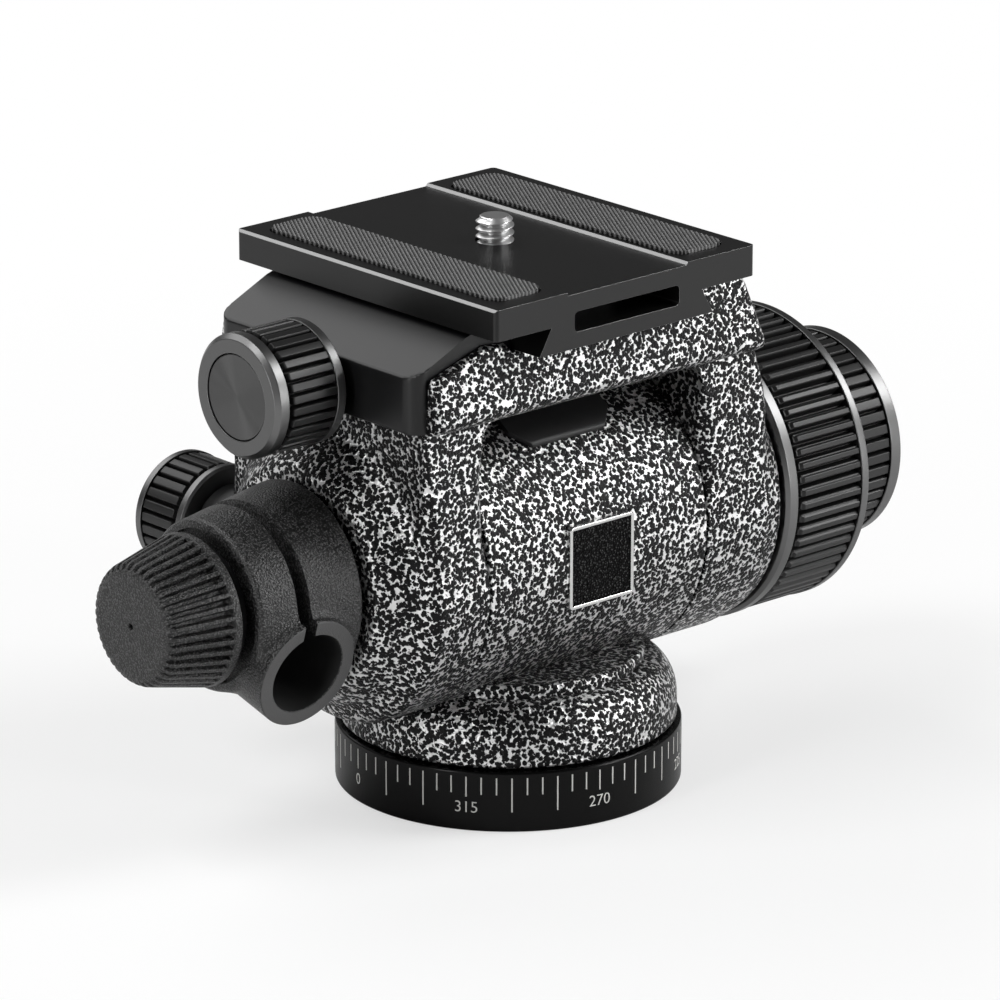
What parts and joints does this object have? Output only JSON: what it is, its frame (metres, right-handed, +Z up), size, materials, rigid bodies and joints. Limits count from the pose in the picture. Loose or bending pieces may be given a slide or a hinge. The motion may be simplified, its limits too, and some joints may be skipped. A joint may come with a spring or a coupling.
{
  "type": "fluid video head",
  "caption": "Two-way fluid video head with speckled cast housing, dovetail quick-release plate, screw clamp jaw, tilt drag ring, pan bar clamp and degree scale base.",
  "frame": {"origin": "centre of the base's underside, at the mouth of the tripod thread on the pan axis", "axes": "+Z up along the pan axis, +X along the tilt axis towards the drag ring, -Y to the front"},
  "size_m": [0.1551, 0.0737, 0.0961],
  "materials": {
    "speckle_paint": "black and silver crackle paint on cast aluminium, semi-gloss",
    "black_anodised": "black anodised, fine blasted satin",
    "black_powder": "black sand-texture powder coat",
    "scale_black": "satin black with white engraved graduations",
    "gunmetal": "turned gunmetal anodised",
    "raw_aluminium": "machined",
    "grip_rubber": "ribbed rubber, matt",
    "pad_rubber": "fine diagonal ribs, matt",
    "steel": "machined steel",
    "zinc": "bright zinc plated",
    "bronze": "sintered bronze",
    "black_plastic": "moulded, satin",
    "badge_black": "grained black panel",
    "white_plastic": "low-friction washer plastic"
  },
  "bodies": {
    "base": {"scale_ring": "scale_black", "base_disc": "black_anodised", "king_post": "steel", "post_screws": "steel", "thrust_washer": "white_plastic", "pan_washer": "steel", "pan_nut": "steel"},
    "pan": {"housing": "speckle_paint", "pan_bush": "bronze", "end_plate_left": "raw_aluminium", "end_plate_right": "raw_aluminium", "end_plate_screws": "steel", "tilt_bush_left": "bronze", "tilt_bush_right": "bronze", "damper_stator": "raw_aluminium", "badge_frame": "zinc", "badge_plate": "badge_black", "drum_cover": "black_plastic"},
    "saddle": {"platform": "speckle_paint", "left_arm": "speckle_paint", "right_arm": "speckle_paint", "arm_screws": "steel", "tilt_shaft": "steel", "shaft_screws": "steel", "damper_rotor": "raw_aluminium", "shaft_nut": "steel", "ring_hub": "raw_aluminium", "ring_hub_screws": "steel", "ring_clip": "steel", "lock_bush": "black_plastic", "clamp_insert": "bronze", "jaw_pins": "steel", "bar_washer": "black_plastic"},
    "jaw": {"jaw": "black_anodised"},
    "clamp_knob": {"clamp_knob": "gunmetal", "clamp_knob_grip": "grip_rubber", "clamp_knob_cap": "gunmetal", "clamp_screw": "steel"},
    "plate": {"plate": "black_anodised", "pad_left": "pad_rubber", "pad_right": "pad_rubber"},
    "camera_screw": {"camera_screw": "zinc"},
    "drag_ring": {"drag_ring": "gunmetal", "drag_ring_grip": "grip_rubber"},
    "end_knob": {"end_knob": "gunmetal", "end_knob_grip": "grip_rubber", "end_knob_cap": "gunmetal", "push_rod": "steel"},
    "lock_knob": {"lock_knob": "gunmetal", "lock_knob_grip": "grip_rubber", "lock_stud": "steel"},
    "bar_clamp": {"bar_clamp": "black_powder"},
    "bar_knob": {"bar_knob": "black_powder", "bar_knob_washer": "black_plastic", "bar_stud": "steel"}
  },
  "joints": [
    {"name": "pan_turn", "type": "hinge", "parent": "base", "child": "pan", "pos_m": [0, 0, 0.0104], "axis": [0, 0, 1], "continuous": true},
    {"name": "tilt", "type": "hinge", "parent": "pan", "child": "saddle", "pos_m": [0, 0.0033, 0.0429], "axis": [1, 0, 0], "range_deg": [-55, 75]},
    {"name": "jaw_slide", "type": "slide", "parent": "saddle", "child": "jaw", "axis": [-1, 0, 0], "range_m": [0, 0.0025]},
    {"name": "clamp_knob_turn", "type": "hinge", "parent": "jaw", "child": "clamp_knob", "pos_m": [-0.048, 0.0033, 0.0764], "axis": [-1, 0, 0], "range_deg": [0, 900]},
    {"name": "plate_slide", "type": "slide", "parent": "saddle", "child": "plate", "axis": [0, 1, 0], "range_m": [-0.012, 0.012]},
    {"name": "camera_screw_turn", "type": "hinge", "parent": "plate", "child": "camera_screw", "pos_m": [0, 0.0033, 0.092], "axis": [0, 0, 1], "continuous": true},
    {"name": "drag_ring_turn", "type": "hinge", "parent": "saddle", "child": "drag_ring", "pos_m": [0.052, 0.0033, 0.0429], "axis": [1, 0, 0], "range_deg": [-150, 150]},
    {"name": "end_knob_turn", "type": "hinge", "parent": "saddle", "child": "end_knob", "pos_m": [0.07, 0.0033, 0.0429], "axis": [1, 0, 0], "range_deg": [-150, 150]},
    {"name": "lock_knob_turn", "type": "hinge", "parent": "saddle", "child": "lock_knob", "pos_m": [-0.0334, 0.038, 0.0429], "axis": [0, 1, 0], "range_deg": [0, 270]},
    {"name": "bar_clamp_swing", "type": "hinge", "parent": "saddle", "child": "bar_clamp", "pos_m": [-0.0534, 0.0033, 0.0429], "axis": [1, 0, 0], "continuous": true},
    {"name": "bar_knob_turn", "type": "hinge", "parent": "bar_clamp", "child": "bar_knob", "pos_m": [-0.071, 0.0033, 0.0429], "axis": [-1, 0, 0], "range_deg": [0, 720]}
  ],
  "couplings": [
    {"joint": "clamp_knob_turn", "follows": "jaw_slide", "rad_per_m": 6283.2}
  ]
}
